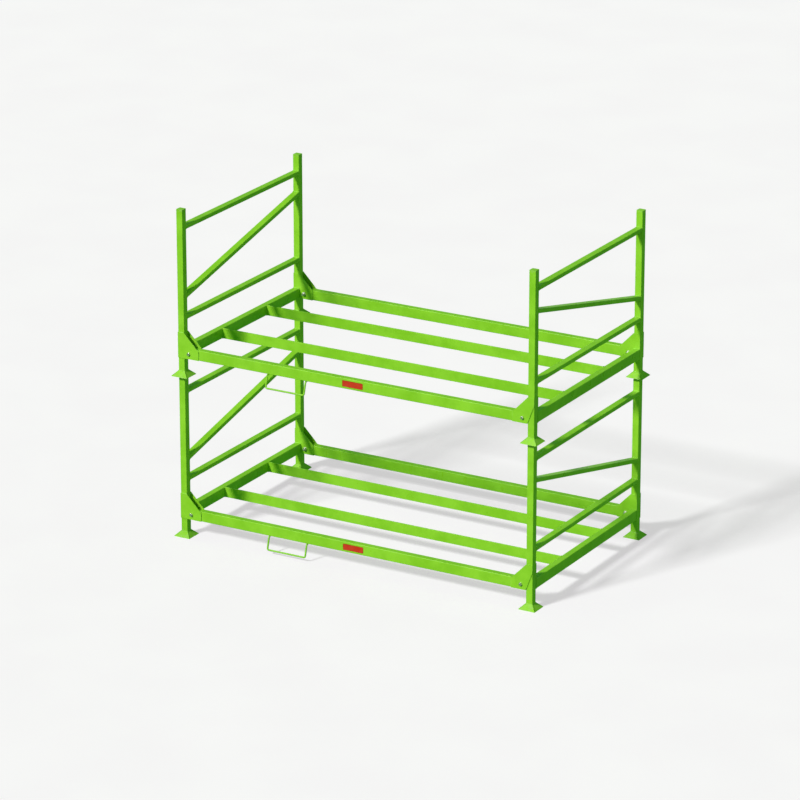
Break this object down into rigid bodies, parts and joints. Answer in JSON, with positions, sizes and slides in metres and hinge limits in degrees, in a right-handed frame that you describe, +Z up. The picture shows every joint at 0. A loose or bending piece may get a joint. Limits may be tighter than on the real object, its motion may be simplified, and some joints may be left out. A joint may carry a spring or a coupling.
{
  "type": "tyre storage rack",
  "caption": "Stack of folding steel rack modules that hold rows of tyres on their treads between open end frames with flared feet.",
  "frame": {"origin": "on the floor under the middle of the stack", "axes": "+X along the tyre rows to the right, +Y from the long front side to the rear, +Z up"},
  "size_m": [2.312, 1.347, 1.927],
  "materials": {
    "lime_powder_coat": "gloss powder coat",
    "zinc_plated_steel": "zinc plated",
    "label_red": "printed vinyl film"
  },
  "bodies": {
    "lower_rack": {"lower_beam_gussets": "lime_powder_coat", "lower_corner_plates": "lime_powder_coat", "lower_front_beam": "lime_powder_coat", "lower_front_inner_rail": "lime_powder_coat", "lower_handle": "lime_powder_coat", "lower_hinge_lugs": "lime_powder_coat", "lower_label": "label_red", "lower_left_diagonal": "lime_powder_coat", "lower_left_end_beam": "lime_powder_coat", "lower_left_feet": "lime_powder_coat", "lower_left_front_post": "lime_powder_coat", "lower_left_lower_bar": "lime_powder_coat", "lower_left_rear_post": "lime_powder_coat", "lower_left_top_bar": "lime_powder_coat", "lower_pivot_bolts": "zinc_plated_steel", "lower_pivot_nuts": "zinc_plated_steel", "lower_pivot_washers": "zinc_plated_steel", "lower_post_caps": "lime_powder_coat", "lower_post_gussets": "lime_powder_coat", "lower_rear_beam": "lime_powder_coat", "lower_rear_inner_rail": "lime_powder_coat", "lower_right_diagonal": "lime_powder_coat", "lower_right_end_beam": "lime_powder_coat", "lower_right_feet": "lime_powder_coat", "lower_right_front_post": "lime_powder_coat", "lower_right_lower_bar": "lime_powder_coat", "lower_right_rear_post": "lime_powder_coat", "lower_right_top_bar": "lime_powder_coat"},
    "upper_base": {"upper_beam_gussets": "lime_powder_coat", "upper_corner_plates": "lime_powder_coat", "upper_front_beam": "lime_powder_coat", "upper_front_inner_rail": "lime_powder_coat", "upper_handle": "lime_powder_coat", "upper_label": "label_red", "upper_left_end_beam": "lime_powder_coat", "upper_pivot_bolts": "zinc_plated_steel", "upper_pivot_nuts": "zinc_plated_steel", "upper_pivot_washers": "zinc_plated_steel", "upper_rear_beam": "lime_powder_coat", "upper_rear_inner_rail": "lime_powder_coat", "upper_right_end_beam": "lime_powder_coat"},
    "upper_left_end": {"upper_left_diagonal": "lime_powder_coat", "upper_left_feet": "lime_powder_coat", "upper_left_front_post": "lime_powder_coat", "upper_left_hinge_lugs": "lime_powder_coat", "upper_left_lower_bar": "lime_powder_coat", "upper_left_post_caps": "lime_powder_coat", "upper_left_post_gusset": "lime_powder_coat", "upper_left_rear_post": "lime_powder_coat", "upper_left_top_bar": "lime_powder_coat"},
    "upper_right_end": {"upper_right_diagonal": "lime_powder_coat", "upper_right_feet": "lime_powder_coat", "upper_right_front_post": "lime_powder_coat", "upper_right_hinge_lugs": "lime_powder_coat", "upper_right_lower_bar": "lime_powder_coat", "upper_right_post_caps": "lime_powder_coat", "upper_right_post_gusset": "lime_powder_coat", "upper_right_rear_post": "lime_powder_coat", "upper_right_top_bar": "lime_powder_coat"}
  },
  "joints": [
    {"name": "upper_lift", "type": "slide", "parent": "lower_rack", "child": "upper_base", "axis": [0, 0, 1], "range_m": [0, 0.5]},
    {"name": "upper_left_fold", "type": "hinge", "parent": "upper_base", "child": "upper_left_end", "pos_m": [-1.0545, 0, 1.095], "axis": [0, 1, 0], "range_deg": [0, 90]},
    {"name": "upper_right_fold", "type": "hinge", "parent": "upper_base", "child": "upper_right_end", "pos_m": [1.0545, 0, 1.095], "axis": [0, -1, 0], "range_deg": [0, 90]}
  ],
  "couplings": [
    {"joint": "upper_left_fold", "follows": "upper_lift", "rad_per_m": 3.1415},
    {"joint": "upper_right_fold", "follows": "upper_lift", "rad_per_m": 3.1415}
  ]
}
